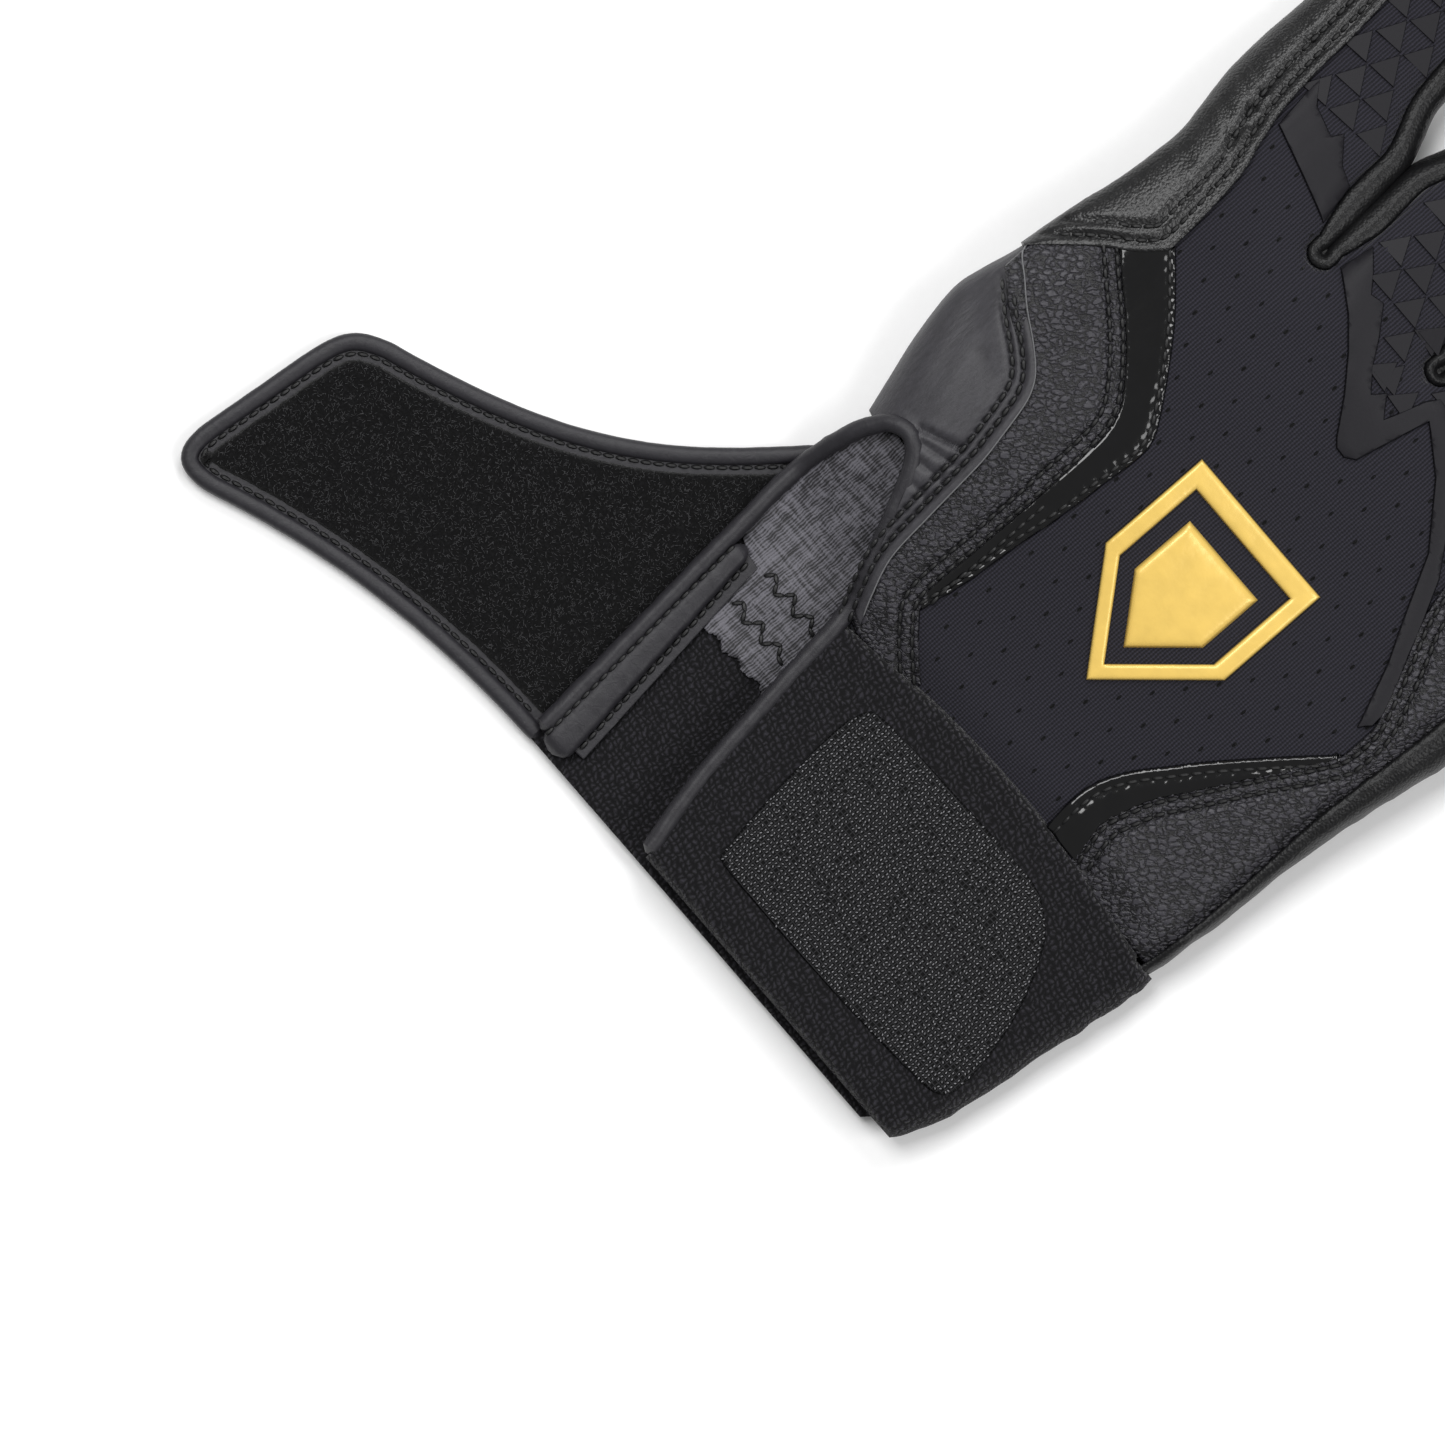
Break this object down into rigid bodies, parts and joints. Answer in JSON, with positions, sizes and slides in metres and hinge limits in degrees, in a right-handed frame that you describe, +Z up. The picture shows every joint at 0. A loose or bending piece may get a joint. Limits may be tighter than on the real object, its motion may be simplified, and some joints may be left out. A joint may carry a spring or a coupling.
{
  "type": "batting glove",
  "caption": "Right-hand batting glove lying back up: leather palm, knit back, rolled fingers, tucked thumb, elastic cuff and a hook-and-loop wrist strap that folds over.",
  "frame": {"origin": "middle of the cuff's underside, on the table, halfway along the elastic band", "axes": "+X to the little-finger side, +Y to the fingertips, +Z up out of the back of the hand"},
  "size_m": [0.1859, 0.2493, 0.0178],
  "materials": {
    "palm_leather": "soft grained glove leather, slightly glossy",
    "thumb_synthetic": "smooth matte synthetic leather with soft folds",
    "back_knit": "perforated twill knit, near black with a violet cast",
    "pebbled_leather": "pebble-grained synthetic leather",
    "patent_trim": "patent leather strip, glossy black",
    "guard_rubber": "matte moulded rubber",
    "gold_transfer": "raised metallic gold transfer",
    "elastic_knit": "dense knitted elastic",
    "hook_tape": "woven hook tape",
    "lining_knit": "ribbed grey tricot",
    "binding_leather": "smooth folded leather",
    "loop_pile": "brushed loop pile"
  },
  "bodies": {
    "glove": {"palm_panel": "palm_leather", "index_side_panel": "palm_leather", "little_finger_side_panel": "palm_leather", "fourchette_index_middle": "palm_leather", "fourchette_middle_ring": "palm_leather", "fourchette_ring_little": "palm_leather", "thumb_front": "palm_leather", "thumb_gusset": "palm_leather", "thumb_back": "thumb_synthetic", "thumb_base_panel": "thumb_synthetic", "back_panel": "back_knit", "radial_overlay": "pebbled_leather", "ulnar_overlay": "pebbled_leather", "radial_trim": "patent_trim", "ulnar_trim": "patent_trim", "index_knuckle_guard": "guard_rubber", "main_knuckle_guard": "guard_rubber", "emblem_rim": "gold_transfer", "emblem_plate": "gold_transfer", "cuff_elastic": "elastic_knit", "hook_patch": "hook_tape", "palm_lining": "lining_knit", "slit_binding": "binding_leather", "root_hem": "binding_leather"},
    "strap": {"strap_leather": "binding_leather", "strap_loop_pile": "loop_pile", "strap_rolled_edge": "binding_leather"}
  },
  "joints": [
    {"name": "strap_fold", "type": "hinge", "parent": "glove", "child": "strap", "pos_m": [-0.04943, 0.006, 0.0067], "axis": [-0.0847, 0.9964, 0], "range_deg": [0, 180]}
  ]
}
